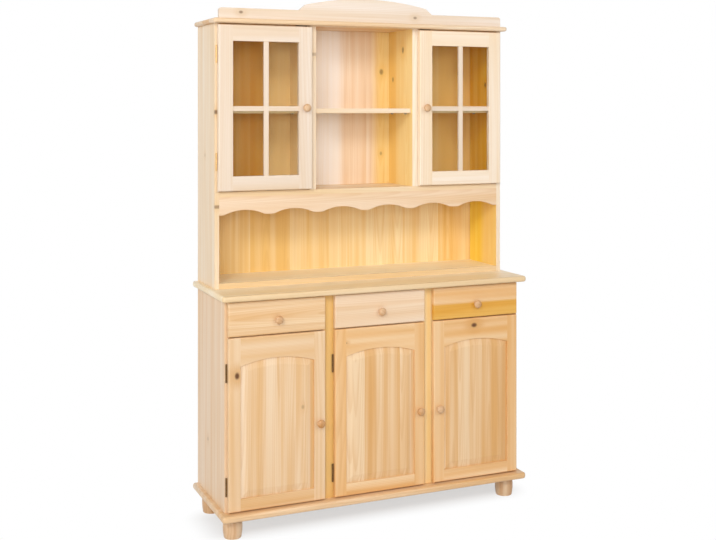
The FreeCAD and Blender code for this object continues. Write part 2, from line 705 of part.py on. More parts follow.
def build_glass_doors():
    leaves, pins, catches = [], [], []
    tall, wide = glass_door_height, glass_far - glass_near
    opening_wide = wide - s.glass_stile_wide * 2
    opening_tall = tall - s.glass_bottom_rail - s.glass_top_rail
    y_bar = y_glass_front + s.bar_setback
    y_pane = y_bar + s.bar_thick
    for side, sign in SIDES:
        name = f"glass_door_{side}"
        low, _ = span(sign, glass_near, glass_far)
        open_x = low + s.glass_stile_wide
        open_z = z_glass_door + s.glass_bottom_rail
        groove = box(f"{name}_groove", (open_x - s.panel_groove, y_pane, open_z - s.panel_groove),
                     (opening_wide + s.panel_groove * 2, s.pane_thick + s.panel_clear,
                      opening_tall + s.panel_groove * 2))
        stile_size = (s.glass_stile_wide, s.front_thick, tall)
        boards = {
            "stile_left": front_board(f"{name}_stile_left_body", (low, y_glass_front, z_glass_door),
                                      stile_size, ("right",)),
            "stile_right": front_board(f"{name}_stile_right_body",
                                       (low + wide - s.glass_stile_wide, y_glass_front, z_glass_door),
                                       stile_size, ("left",)),
            "rail_bottom": front_board(f"{name}_rail_bottom_body", (open_x, y_glass_front, z_glass_door),
                                       (opening_wide, s.front_thick, s.glass_bottom_rail),
                                       ("left", "right", "top")),
            "rail_top": front_board(f"{name}_rail_top_body", (open_x, y_glass_front, open_z + opening_tall),
                                    (opening_wide, s.front_thick, s.glass_top_rail),
                                    ("left", "right", "bottom")),
        }
        frame = [cut(f"{name}_{part}", board, groove) for part, board in boards.items()]
        node(f"{name}_frame", *frame)
        bar_x = open_x + opening_wide / 2 - s.bar_wide / 2
        bar_z = open_z + opening_tall / 2 - s.bar_wide / 2
        half_bar = s.bar_thick / 2
        crossing = (s.bar_wide, half_bar, s.bar_wide)
        upright = cut(f"{name}_bar_upright", box(f"{name}_upright_strip", (bar_x, y_bar, open_z),
                                                 (s.bar_wide, s.bar_thick, opening_tall)),
                      box(f"{name}_upright_lap", (bar_x, y_bar, bar_z), crossing))
        level = cut(f"{name}_bar_level", box(f"{name}_level_strip", (open_x, y_bar, bar_z),
                                             (opening_wide, s.bar_thick, s.bar_wide)),
                    box(f"{name}_level_lap", (bar_x, y_bar + half_bar, bar_z), crossing))
        node(f"{name}_bars", upright, level)
        edge = s.panel_groove - s.panel_clear
        node(f"{name}_pane", box(f"{name}_glass", (open_x - edge, y_pane, open_z - edge),
                                 (opening_wide + edge * 2, s.pane_thick, opening_tall + edge * 2)))
        knob_x = (glass_near + s.glass_stile_wide / 2) * sign
        knob(f"{name}_knob", knob_x, y_glass_front, z_glass_door + tall / 2)
        heights = (z_glass_door + s.glass_hinge_end, z_glass_door + tall - s.glass_hinge_end)
        fixed, pivot, catch = fittings_for(name, low, low + wide, side, y_hutch, heights, z_cornice)
        leaves += fixed
        pins += pivot
        catches.append(catch)
    return leaves, pins, catches


def build_apron():
    """The apron under the cabinet floor, its lower edge cut by a row of scallops with rounded pendants."""
    body = doc.addObject("PartDesign::Body", "hutch_apron_body")
    wide = inside * 2
    board_outline = outline(sketch_on(body, "apron_outline"),
                            [(0, 0), (wide, 0), (wide, s.apron_deep), (0, s.apron_deep)])
    board = pad(body, "apron_board", board_outline, s.apron_thick)
    pitch = wide / SCALLOPS
    chord = pitch - s.scallop_gap
    chord_half = chord / 2
    curve = (chord_half * chord_half + s.scallop_rise * s.scallop_rise) / (s.scallop_rise * 2)
    first = s.scallop_gap / 2
    scallop_outline = outline(sketch_on(body, "scallop_outline"),
                              [(first, 0), (first + chord, 0)], {1: curve})
    scallop = body.newObject("PartDesign::Pocket", "scallop")
    scallop.Profile = scallop_outline
    scallop.Type = "ThroughAll"
    scallop.Reversed = True
    row = body.newObject("PartDesign::LinearPattern", "scallops")
    row.Originals = [scallop]
    row.Direction = (scallop_outline, ["H_Axis"])
    row.setExpression("Length", (pitch * (SCALLOPS - 1)).text)
    row.Occurrences = SCALLOPS
    body.Tip = row
    doc.recompute()

    def pendant_edge(ends, bounds):
        along_depth = abs(ends[0].y - ends[-1].y) > TOUCH
        inner = all(bounds.XMin + TOUCH < point.x < bounds.XMax - TOUCH for point in ends)
        return along_depth and inner and all_at(ends, "z", bounds.ZMin)

    body.Tip = round_edges(body, "pendants", row, s.scallop_round, pendant_edge)
    place(body, (-inside, y_hutch + s.apron_thick, z_cabinet - s.apron_deep))
    doc.recompute()
    if row.Shape.Volume >= board.Shape.Volume:
        raise RuntimeError("the scallops cut nothing from the apron")
    node("hutch_apron", body)


def build_crest():
    """The crest on the cornice: low ends, a short slope up to each shoulder and a shallow arch between."""
    body = doc.addObject("PartDesign::Body", "crest_body")
    wide = s.carcase_width - s.crest_inset * 2
    middle = wide / 2
    rise = s.crest_peak - s.crest_shoulder
    reach = s.crest_arch_half
    curve = (reach * reach + rise * rise) / (rise * 2)
    slope_end = reach + s.crest_slope
    points = [(0, 0), (wide, 0), (wide, s.crest_end), (middle + slope_end, s.crest_end),
              (middle + reach, s.crest_shoulder), (middle - reach, s.crest_shoulder),
              (middle - slope_end, s.crest_end), (0, s.crest_end)]
    shape = outline(sketch_on(body, "crest_outline"), points, {4: curve})
    board = pad(body, "crest_board", shape, s.crest_thick)

    def top_corner(ends, bounds):
        along_depth = abs(ends[0].y - ends[-1].y) > TOUCH
        return along_depth and ends[0].z > bounds.ZMin + TOUCH

    round_edges(body, "crest_corners", board, s.crest_round, top_corner)
    place(body, (-middle, y_hutch - s.crest_front + s.crest_thick, z_crest))
    node("crest", body)


def build_hutch_carcase():
    for side, sign in SIDES:
        low, wide = span(sign, inside, half)
        node(f"hutch_side_{side}", box(f"hutch_side_{side}_board", (low, y_hutch, z_hutch),
                                       (wide, s.hutch_depth, s.hutch_height)))
        low, wide = span(sign, s.hutch_half_opening, hutch_partition_far)
        node(f"hutch_partition_{side}", box(f"hutch_partition_{side}_board", (low, y_hutch, z_cabinet_top),
                                            (wide, y_panel - y_hutch, z_cornice - z_cabinet_top)))
    deep = y_panel - y_hutch
    node("hutch_bottom_board", box("hutch_bottom", (-inside, y_hutch, z_hutch),
                                   (inside * 2, deep, s.hutch_board_thick)))
    node("hutch_cabinet_floor", box("cabinet_floor", (-inside, y_hutch, z_cabinet),
                                    (inside * 2, deep, s.cabinet_floor_thick)))
    node("hutch_back_panel", box("hutch_back", (-inside, y_panel, z_hutch),
                                 (inside * 2, s.back_thick, s.hutch_height)))
    node("cornice", moulded_board("cornice_body", (-half - s.cornice_side, y_hutch - s.cornice_front, z_cornice),
                                  (s.carcase_width + s.cornice_side * 2, s.hutch_depth + s.cornice_front,
                                   s.cornice_thick)))
    build_apron()
    build_crest()


def shelf_with_pins(name, faces, y_low, z_low):
    """A loose hutch shelf between two faces and the four pins that carry it."""
    deep = y_panel - y_low
    board = box(name, (faces[0] + s.shelf_clear, y_low, z_low),
                (faces[1] - faces[0] - s.shelf_clear * 2, deep, s.shelf_thick))
    return board, shelf_pins(name, faces, y_low, z_low)


def shelf_pins(name, faces, y_low, z_low):
    """Four pins standing out of the two faces just under a shelf."""
    pins = []
    for end, x_low in (("left", faces[0]), ("right", faces[1] - s.pin_length)):
        for row, y_pin in (("front", y_low + s.pin_inset), ("back", y_panel - s.pin_inset)):
            pins.append(cylinder(f"{name}_pin_{row}_{end}", (x_low, y_pin, z_low - s.pin_radius),
                                 s.pin_radius, s.pin_length, LYING_ALONG_X))
    return pins


def build_shelves_and_pins():
    pins = []
    for bay, _, _, faces in BAYS:
        pins += shelf_pins(f"base_{bay}", faces, y_base + s.base_shelf_setback, z_base + s.base_shelf_height)
    y_low = y_hutch + s.hutch_shelf_setback
    z_low = z_cabinet_top + s.hutch_shelf_height
    open_faces = (-s.hutch_half_opening, s.hutch_half_opening)
    middle, middle_pins = shelf_with_pins("open_shelf", open_faces, y_low, z_low)
    left, left_pins = shelf_with_pins("glass_shelf_left", (-inside, -hutch_partition_far), y_low, z_low)
    right, right_pins = shelf_with_pins("glass_shelf_right", (hutch_partition_far, inside), y_low, z_low)
    node("hutch_open_shelf", middle)
    node("hutch_cabinet_shelves", left, right)
    node("shelf_pins", *pins, *middle_pins, *left_pins, *right_pins)


def build_tie_plates():
    """Two steel plates at the back, from the base's back panel over the worktop's edge to the hutch's."""
    z_low = z_worktop - s.tie_below
    tall = s.tie_below + s.worktop_thick + s.hutch_board_thick + s.tie_above
    plates = []
    for side, sign in SIDES:
        low, wide = span(sign, s.tie_offset - s.tie_wide / 2, s.tie_offset + s.tie_wide / 2)
        plates.append(box(f"tie_plate_{side}", (low, y_rear, z_low), (wide, s.tie_thick, tall)))
    node("tie_plates", *plates)


def build_all():
    build_base_carcase()
    build_feet()
    build_drawers()
    build_hutch_carcase()
    build_shelves_and_pins()
    build_tie_plates()
    base_leaves, base_pins, base_catches = build_base_doors()
    glass_leaves, glass_pins, glass_catches = build_glass_doors()
    node("hinge_leaves_fixed", *base_leaves, *glass_leaves)
    node("hinge_pins", *base_pins, *glass_pins)
    node("magnet_catches", *base_catches, *glass_catches)
    doc.recompute()


def check_and_write():
    """Refuse to write anything unless every object is sound and every piece is a set of valid solids."""
    for thing in doc.Objects:
        if {"Invalid", "Error"} & set(thing.State):
            raise RuntimeError(f"{thing.Label} failed: {thing.State}")
    for piece in nodes:
        if piece.Shape.isNull() or not piece.Shape.isValid() or not piece.Shape.Solids:
            raise RuntimeError(f"{piece.Label} has no valid solid")
    os.makedirs("parts", exist_ok=True)
    for piece in nodes:
        piece.Shape.exportStep(f"parts/{piece.Label}.step")
    box_of_all = Part.makeCompound([piece.Shape for piece in nodes]).BoundBox
    print(f"{len(nodes)} nodes, {sum(len(piece.Shape.Solids) for piece in nodes)} solids")
    print(f"x {box_of_all.XMin:.1f} to {box_of_all.XMax:.1f}, y {box_of_all.YMin:.1f} to {box_of_all.YMax:.1f}, "
          f"z {box_of_all.ZMin:.1f} to {box_of_all.ZMax:.1f}")


build_all()
check_and_write()
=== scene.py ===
# %% [markdown]
# # A pine dresser, dressed board by board
#
# The dresser comes in as a fixed frame of solids: each board, door and drawer is already in its place, in
# metres, with the floor at z = 0, the front towards -Y and the middle at x = 0. This script gives every
# board its own piece of pine, turns the knobs and feet on a lathe made of arrays, and sets up the studio.

import math

import bpy
import numpy as np
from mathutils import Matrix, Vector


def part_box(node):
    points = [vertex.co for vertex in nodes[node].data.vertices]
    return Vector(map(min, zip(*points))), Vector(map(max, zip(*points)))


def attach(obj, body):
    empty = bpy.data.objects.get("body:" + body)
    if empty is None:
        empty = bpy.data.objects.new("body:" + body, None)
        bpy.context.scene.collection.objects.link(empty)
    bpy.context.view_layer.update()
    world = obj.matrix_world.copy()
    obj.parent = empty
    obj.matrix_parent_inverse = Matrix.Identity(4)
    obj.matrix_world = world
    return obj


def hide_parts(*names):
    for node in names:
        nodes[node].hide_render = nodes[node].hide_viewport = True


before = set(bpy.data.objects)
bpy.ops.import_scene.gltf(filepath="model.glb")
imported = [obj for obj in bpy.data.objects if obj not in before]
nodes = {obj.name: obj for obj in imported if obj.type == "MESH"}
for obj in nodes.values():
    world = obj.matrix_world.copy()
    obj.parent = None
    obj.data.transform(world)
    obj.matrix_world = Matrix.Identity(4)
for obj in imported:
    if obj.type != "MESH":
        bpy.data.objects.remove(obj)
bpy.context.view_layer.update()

# %% [markdown]
# ## The photographer's place
#
# All the upright edges in the picture are parallel, so the camera was level, and the horizon lies high in
# the frame. A level camera with a vertical shift gives both. Tilting the camera down would make the
# uprights converge. The place, turn and focal length come from fitting the dresser's straight edges.

# %% Camera
PHOTO_WIDE, PHOTO_TALL = 716, 540
FOCAL_PIXELS = 1110.9
HORIZON_ROW = 108.3
CAMERA_PLACE = (-1.7176, -3.9279, 1.5237)
CAMERA_TURN = math.radians(-23.406)

lens = bpy.data.cameras.new("photographer")
lens.sensor_fit = "HORIZONTAL"
lens.lens = lens.sensor_width * FOCAL_PIXELS / PHOTO_WIDE
lens.shift_y = (HORIZON_ROW - PHOTO_TALL / 2) / PHOTO_WIDE
camera = bpy.data.objects.new("photographer", lens)
camera.location = CAMERA_PLACE
camera.rotation_euler = (math.pi / 2, 0, CAMERA_TURN)
bpy.context.scene.collection.objects.link(camera)
bpy.context.scene.camera = camera
bpy.context.scene.view_settings.view_transform = "Standard"
print("lens", round(lens.lens, 2), "mm, shift", round(lens.shift_y, 4))

# %% [markdown]
# ## Shader maths as plain Python
#
# A procedural material is a formula, and formulas read best as expressions. A Wire wraps one output socket:
# adding, multiplying or dividing Wires adds the Math nodes. A Recipe is a material under construction, and
# its add method makes any other node: the type, the settings, then the values or links of its sockets.


# %% Wires
class Wire:
    """One output socket of a material. An operator on it adds a Math node and gives the node's output."""

    def __init__(self, recipe, node, output=0):
        self.recipe, self.node, self.socket = recipe, node, node.outputs[output]

    def __getitem__(self, output):
        return Wire(self.recipe, self.node, output)

    def maths(self, operation, *others):
        """The output of a Math node that works on this value and the others."""
        return self.recipe.add("ShaderNodeMath", {"operation": operation}, dict(enumerate((self, *others))))

    def __add__(self, other):
        return self.maths("ADD", other)

    def __sub__(self, other):
        return self.maths("SUBTRACT", other)

    def __rsub__(self, other):
        return self.maths("MULTIPLY_ADD", -1.0, other)

    def __mul__(self, other):
        return self.maths("MULTIPLY", other)

    def __truediv__(self, other):
        return self.maths("DIVIDE", other)

    def __abs__(self):
        return self.maths("ABSOLUTE")

    __radd__ = __add__
    __rmul__ = __mul__

    def below(self, limit):
        """1 under the limit and 0 elsewhere."""
        return self.maths("LESS_THAN", limit)

    def above(self, limit):
        """1 over the limit and 0 elsewhere."""
        return self.maths("GREATER_THAN", limit)

    def between(self, low, high):
        """1 from low to high and 0 elsewhere."""
        return self.above(low) * self.below(high)

    def ease(self, low, high):
        """0 below low, 1 above high, and a smooth step between."""
        sockets = {"Value": self, "From Min": low, "From Max": high}
        return self.recipe.add("ShaderNodeMapRange", {"interpolation_type": "SMOOTHSTEP"}, sockets)

    def within(self, low, high, soft):
        """1 from low to high and 0 outside, with soft borders of that half width."""
        return self.ease(low - soft, low + soft) - self.ease(high - soft, high + soft)


print("wires ready: they add, subtract, multiply and divide")


# %% Recipes
class Recipe:
    """A material's node tree, begun empty."""

    def __init__(self, name):
        self.material = bpy.data.materials.new(name)
        self.material.use_nodes = True
        self.tree = self.material.node_tree
        self.tree.nodes.clear()

    def add(self, kind, settings=None, sockets=None):
        """A new node of that kind. Its settings are made first, then each socket gets a value or a Wire."""
        node = self.tree.nodes.new(kind)
        for name, value in (settings or {}).items():
            setattr(node, name, value)
        for key, value in (sockets or {}).items():
            if isinstance(value, Wire):
                self.tree.links.new(value.socket, node.inputs[key])
            else:
                node.inputs[key].default_value = value
        return Wire(self, node) if node.outputs else node

    def place(self):
        """The piece's own x, y and z in metres."""
        point = self.add("ShaderNodeTexCoord")["Object"]
        axes = self.add("ShaderNodeSeparateXYZ", sockets={0: point})
        return axes["X"], axes["Y"], axes["Z"]

    def noise(self, point, lumps, detail=2.0):
        """Soft noise from 0 to 1. lumps says how many lumps a metre holds along each part of the point."""
        scaled = [part * count for part, count in zip(point, lumps)]
        vector = self.add("ShaderNodeCombineXYZ", sockets=dict(enumerate(scaled)))
        return self.add("ShaderNodeTexNoise", sockets={"Vector": vector, "Scale": 1.0, "Detail": detail})

    def blend(self, share, first, second):
        """first where share is 0, second where it is 1."""
        settings = {"data_type": "RGBA", "clamp_factor": True}
        return self.add("ShaderNodeMix", settings, {0: share, 6: first, 7: second})[2]

    def surface(self, sockets):
        """Ends the recipe in a Principled shader with these values and links on its sockets."""
        shader = self.add("ShaderNodeBsdfPrincipled", sockets=sockets)
        self.add("ShaderNodeOutputMaterial", sockets={"Surface": shader})
        return self.material


print("recipes ready: place, noise, blend and surface")

# %% [markdown]
# ## The studio
#
# The picture was taken on white with soft lamps. The world is white to the eye, also in glass and metal,
# and weaker as a lamp. The floor is a pale sheet that takes the dresser's shadow and turns plain white a
# little further out, so only the shadow under the base is left, as on a cut-out photograph. The main lamp
# stands far off on the left and high, so that shelves and rails throw a shadow below them. A lamp near the
# photographer's eye reaches into the niche and through the glass, one on the right evens out the fronts,
# and the last one fills in the left side.

# %% World
WHITE = (1, 1, 1, 1)
WORLD_LIGHT = 0.32


def seen_directly(recipe):
    """1 for rays from the eye, also by way of a mirror or a window, and 0 for rays that light a surface."""
    path = recipe.add("ShaderNodeLightPath")
    mirror_or_eye = path["Is Camera Ray"].maths("MAXIMUM", path["Is Glossy Ray"])
    return mirror_or_eye.maths("MAXIMUM", path["Is Transmission Ray"])


class Sky(Recipe):
    """The world's own node tree, made with the same methods as a material."""

    def __init__(self, name):
        self.world = bpy.data.worlds.new(name)
        self.world.use_nodes = True
        self.tree = self.world.node_tree
        self.tree.nodes.clear()


sky = Sky("studio_white")
lamp_side = sky.add("ShaderNodeBackground", sockets={"Color": WHITE, "Strength": WORLD_LIGHT})
eye_side = sky.add("ShaderNodeBackground", sockets={"Color": WHITE, "Strength": 1.0})
both = sky.add("ShaderNodeMixShader", sockets={0: seen_directly(sky), 1: lamp_side, 2: eye_side})
sky.add("ShaderNodeOutputWorld", sockets={"Surface": both})
bpy.context.scene.world = sky.world
print("world: white to the eye and", WORLD_LIGHT, "as a lamp")

# %% Floor
# The sheet shows its shadow over a rectangle of these half widths and fades to plain white past it. Even
# there a share of plain white, the glow, keeps the shadow light.
FLOOR_REACH = 40.0
FLOOR_WHITE = 0.7
FLOOR_HALF = (0.55, 0.07)
FLOOR_FADE = (0.0, 0.14)
FLOOR_GLOW = 0.6

sheet = Recipe("studio_sheet")
sheet_x, sheet_y, _ = sheet.place()
past_x = (abs(sheet_x) - FLOOR_HALF[0]).maths("MAXIMUM", 0.0)
past_y = (abs(sheet_y) - FLOOR_HALF[1]).maths("MAXIMUM", 0.0)
from_base = (past_x * past_x + past_y * past_y).maths("SQRT")
paper = sheet.add("ShaderNodeBsdfDiffuse", sockets={"Color": (FLOOR_WHITE, FLOOR_WHITE, FLOOR_WHITE, 1)})
glow = sheet.add("ShaderNodeEmission", sockets={"Color": WHITE, "Strength": 1.0})
plain = (FLOOR_GLOW + (1 - FLOOR_GLOW) * from_base.ease(*FLOOR_FADE)) * seen_directly(sheet)
sheet_look = sheet.add("ShaderNodeMixShader", sockets={0: plain, 1: paper, 2: glow})
sheet.add("ShaderNodeOutputMaterial", sockets={"Surface": sheet_look})

floor_mesh = bpy.data.meshes.new("studio_floor")
corners = np.array([(-1, -1, 0), (1, -1, 0), (1, 1, 0), (-1, 1, 0)]) * FLOOR_REACH
floor_mesh.from_pydata(corners.tolist(), [], [(0, 1, 2, 3)])
floor_mesh.materials.append(sheet.material)
floor = bpy.data.objects.new("studio_floor", floor_mesh)
bpy.context.scene.collection.objects.link(floor)
print("floor:", 2 * FLOOR_REACH, "m wide")

# %% Lamps
# Each lamp: its place, the point that it faces, its width and its watts
LAMPS = {
    "left_front_lamp": ((-6.0, -7.7, 6.0), (0, 0, 1.0), 2.4, 335),
    "eye_side_lamp": ((-2.3, -5.2, 2.0), (0, 0, 1.1), 1.2, 74),
    "right_front_lamp": ((1.8, -5.0, 3.6), (0, 0, 1.0), 2.4, 66),
    "left_fill": ((-4.0, -1.2, 2.2), (0, 0, 1.0), 2.2, 42),
}


def soft_lamp(name, place, aim, size, watts):
    """A square lamp at place, turned so that its -Z axis points at aim."""
    lamp = bpy.data.lights.new(name, "AREA")
    lamp.size = size
    lamp.energy = watts
    holder = bpy.data.objects.new(name, lamp)
    direction = np.array(aim) - np.array(place)
    across = math.hypot(direction[0], direction[1])
    holder.location = place
    holder.rotation_euler = (math.atan2(across, -direction[2]), 0, math.atan2(-direction[0], direction[1]))
    bpy.context.scene.collection.objects.link(holder)


for name, lamp_facts in LAMPS.items():
    soft_lamp(name, *lamp_facts)
print("lamps:", ", ".join(LAMPS))

# %% [markdown]
# ## The tones of pine
# A few tones also hold painted light and painted shade, as said where they are used.
#
# No two boards of a dresser have the same colour: some are nearly white, others have yellowed to honey.
# Each tone is named once, by the colour in its middle. The palest wood in it, the deepest and the late
# rings are worked out from that one colour, so a board can be retoned without its grain looking painted on.

# %% Tones
BLEACHED = (255, 240, 222)
DEEPER, LATE = (0.95, 0.86, 0.70), (0.88, 0.75, 0.52)


def tint(red, green, blue):
    """A colour given in screen values, 0 to 255, as the linear colour that a shader works with.

    The screen's curve is a straight line for the darkest values and a power of 2.4 above them.
    """
    screen = np.array([red, green, blue]) / 255
    linear = np.where(screen <= 0.04045, screen / 12.92, ((screen + 0.055) / 1.055) ** 2.4)
    return (*linear.tolist(), 1.0)


def tone(red, green, blue, lively=1.0):
    """A wood from its middle colour: the palest wood, half-way to BLEACHED, the deepest, and the late rings.

    lively says how far the three lie from the middle colour.
    """
    middle = np.array([red, green, blue])
    three = ((middle + BLEACHED) / 2, middle * DEEPER, middle * LATE)
    return [tint(*middle + (colour - middle) * lively) for colour in three]


TONES = {
    "cream": tone(246, 228, 204, 0.7),
    "rosy": tone(241, 216, 190, 0.8),
    "straw": tone(235, 202, 160, 0.8),
    "honey": tone(238, 194, 134, 0.8),
    "gold": tone(231, 190, 135, 0.8),
    "amber": tone(235, 194, 112, 0.6),
    # orange, citrus, apricot, sunny, butter and toffee serve boards and zones inside the hutch, and there
    # they partly paint warm light thrown from wall to wall; russet paints shade in the left cabinet, and the
    # palest tone further down paints a pool of light on the back panel.
    "orange": tone(250, 203, 40, 0.8),
    "citrus": tone(255, 222, 72, 0.5),
    "apricot": tone(252, 220, 136, 0.5),
    "sunny": tone(250, 219, 149, 0.8),
    "butter": tone(255, 227, 168, 0.3),
    "toffee": tone(255, 216, 132, 0.3),
    "russet": tone(226, 166, 50, 0.5),
    "ochre": tone(228, 168, 52, 0.5),
    "bleached": tone(255, 250, 250, 0.4),
    "blush": tone(235, 221, 210, 0.6),
    "shell": tone(249, 233, 214, 0.6),
    "linen": tone(255, 237, 202, 0.4),
    "oat": tone(255, 245, 218, 0.3),
    "wheat": tone(236, 210, 168, 0.5),
    "brown": tone(206, 161, 108),
}
print("tones:", ", ".join(TONES))

# %% [markdown]
# ## What pine looks like
#
# A pine board is a slice through a tree: growth rings are shells round the heart of the trunk, pale in
# early summer and darker late. Painting stripes on a face would break at every edge. Working out the
# distance from the heart at each point of the solid gives arches on flat faces, lines on edges and arcs on
# end grain, all at once. Wide boards are glued from staves, and each stave is a slice of another tree with
# a tone of its own. Where a branch grew there is a knot: dark, with a warm halo, and the grain flows round
# it.

# %% Knots
# Reaches are in knot radii, from full to none
KNOT_DARK = tint(100, 60, 22)
KNOT_REACH = (0.4, 1.25)
KNOT_LENGTHWAYS = 0.7
HALO_REACH, HALO_SHARE = (0.9, 4.5), 0.7
FLOW_REACH, FLOW_SHARE = (0.8, 4.0), 0.55


def knot_distance(along, wide, knot):
    """Distance from a knot's middle in knot radii, and the part of it across the board in metres.

    A knot is longer along the grain than across it, so the way along the grain counts less.
    """
    knot_along, knot_wide, size, _ = knot
    far_along = (along - knot_along) * KNOT_LENGTHWAYS
    far_wide = wide - knot_wide
    return (far_along * far_along + far_wide * far_wide).maths("SQRT") / size, far_wide


def flow_round(along, wide, knots):
    """The way across the board as the grain sees it, and each knot's distance and strength.

    Near a knot a share of the way from its middle is taken off, so rings that would meet it bend round it.
    """
    flow = wide
    spots = []
    for knot in knots:
        distance, far_wide = knot_distance(along, wide, knot)
        spots.append((distance, knot[3]))
        flow = flow - far_wide * FLOW_SHARE * (1 - distance.ease(*FLOW_REACH))
    return flow, spots


print("knots ready, with halos of", HALO_REACH[1], "knot radii")

# %% Rings
# Where in a ring the late wood darkens and breaks off, and how far a ring wanders
RING = 0.0046
LATE_DARKENS, LATE_BREAKS = (0.3, 0.86), (0.9, 1.0)
WANDER, WANDER_LUMPS = 0.014, (1.2, 9.0, 9.0)
# The heart lies aside of a stave's middle and below it, tilts along it, and sees its thickness flattened
HEART_ASIDE, HEART_TILT, HEART_FLAT = 0.07, 0.06, 0.4
HEART_LEAST, HEART_BELOW = 0.014, 0.04


def late_rings(recipe, chance, middle, from_heart, grain):
    """How much late wood there is, from 0 to 1. grain is (along, slid along, flow across, through).

    The distance from the stave's heart, in ring widths, has a slow wobble along the grain. Its fraction
    rises from early wood to the dark late line and falls back at once.
    """
    along, slid, flow, thick = grain
    wobble = recipe.noise((slid, flow, thick), WANDER_LUMPS)
    heart_wide = from_heart + (chance["Red"] - 0.5) * HEART_ASIDE
    heart_deep = (thick - middle[2]) * HEART_FLAT + HEART_LEAST + chance["Green"] * HEART_BELOW
    heart_deep = heart_deep + (along - middle[0]) * (chance["Blue"] - 0.5) * HEART_TILT
    radius = (heart_wide * heart_wide + heart_deep * heart_deep).maths("SQRT") + wobble * WANDER
    ring = (radius / RING).maths("FRACT")
    return ring.ease(*LATE_DARKENS) - ring.ease(*LATE_BREAKS)


print("rings ready, each", RING, "m wide")

# %% Pine
# From board to board the staves' joints shift by a share of a stave, and the chances are drawn afresh
STAVE_SHIFT, CHANCE_STEP = 0.37, 1.71
# No two staves show the same stretch of a tree: each slides along the grain by up to so many metres
SLIDE = 23.0
# How far staves, whole boards and broad bands differ in depth
STAVE_VARIETY, BOARD_VARIETY, BAND_VARIETY = 0.9, 0.3, 1.7
LATE_SHARE, STREAK_SHARE = 0.24, 0.4
STREAK_BEGINS = (0.5, 0.78)
# Lumps of noise per metre along the grain, across the board and through it, and the noise's detail
STREAKS = ((1.5, 62.0, 15.0), 3.0)
BANDS = ((1.1, 30.0, 10.0), 1.0)
FIBRES = ((16.0, 850.0, 850.0), 2.0)
RELIEF, RELIEF_DEPTH = 0.22, 0.0005
LACQUER = {"IOR": 1.47, "Coat Weight": 0.18, "Coat Roughness": 0.3}
LEAST_ROUGH, FIBRE_ROUGH = 0.36, 0.16


def pine(seed, directions, middle, tone_name, stave=None, knots=(), zones=()):
    """A board of pine. stave is a stave's width, and zones are (share, tone) pairs over the first tone.

    directions gives the recipe, the wires along the grain, across the board and through it, and a number
    that differs between the pieces of wood in one solid. middle is the point that the heart is measured
    from. Depth, late rings, streaks and knots are blended over each other in that order.
    """
    recipe, along, wide, thick, board = directions
    woods = TONES[tone_name]
    for share, other in zones:
        woods = [recipe.blend(share, *pair) for pair in zip(woods, TONES[other])]
    pale, deep, late_wood = woods
    flow, spots = flow_round(along, wide, knots)
    if stave:
        shift = seed * STAVE_SHIFT
        count = (wide / stave + shift).maths("FLOOR")
        from_heart = flow - (count + 0.5 - shift) * stave
        board = board + count
    else:
        from_heart = flow - middle[1]
    draw = board + seed * CHANCE_STEP
    dice = recipe.add("ShaderNodeTexWhiteNoise", {"noise_dimensions": "1D"}, {"W": draw})
    chance = recipe.add("ShaderNodeSeparateColor", sockets={0: dice["Color"]})
    slid = along + chance["Red"] * SLIDE
    late = late_rings(recipe, chance, middle, from_heart, (along, slid, flow, thick))
    streak = recipe.noise((slid, flow, thick), *STREAKS)
    band = recipe.noise((slid, flow, thick), *BANDS)
    fibre = recipe.noise((along, flow, thick), *FIBRES)
    variety = STAVE_VARIETY if stave else BOARD_VARIETY
    depth = (chance["Blue"] - 0.5) * variety + (band - 0.5) * BAND_VARIETY + 0.5
    colour = recipe.blend(depth, pale, deep)
    colour = recipe.blend(late * LATE_SHARE, colour, late_wood)
    colour = recipe.blend(streak.ease(*STREAK_BEGINS) * STREAK_SHARE, colour, late_wood)
    for distance, strength in spots:
        colour = recipe.blend((1 - distance.ease(*HALO_REACH)) * strength * HALO_SHARE, colour, late_wood)
        colour = recipe.blend((1 - distance.ease(*KNOT_REACH)) * strength, colour, KNOT_DARK)
    height = late * 0.5 + fibre * 0.5
    relief = recipe.add("ShaderNodeBump",
                        sockets={"Strength": RELIEF, "Distance": RELIEF_DEPTH, "Height": height})
    rough = fibre * FIBRE_ROUGH + LEAST_ROUGH
    return recipe.surface({**LACQUER, "Base Color": colour, "Roughness": rough, "Normal": relief})


print("pine ready")

# %% [markdown]
# ## Which way the grain runs
#
# Grain always runs along a board's length, because that is how wood is strong. A plain board has one
# direction all over. A door frame is one solid of four boards, so the material looks at where a point lies:
# between the stiles it is a rail, and the grain runs across. Each piece of wood in a solid has a number,
# from which its chances are drawn, so a rail doesn't carry on the figure of the stile beside it.

# %% Directions and dressing
# The height that parts the base doors' bottom rails from all the others, and the numbers of a frame's pieces
UPPER_RAILS = 0.5
LEFT_STILE, RAIL, UPPER_RAIL = 2.0, 5.0, 3.0


def lengths_of(node):
    """The middle of a solid's box and its three lengths."""
    low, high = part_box(node)
    return (low + high) / 2, high - low


def third_axis(grain, across):
    """The axis through a board, from the axes along it and across it."""
    return ({"X", "Y", "Z"} - {grain, across}).pop()


def one_way(name, grain, across):
    """Directions for a board whose grain runs one way. It is one piece of wood, with the number 0."""
    recipe = Recipe(name)
    axes = dict(zip("XYZ", recipe.place()))
    return recipe, axes[grain], axes[across], axes[third_axis(grain, across)], 0


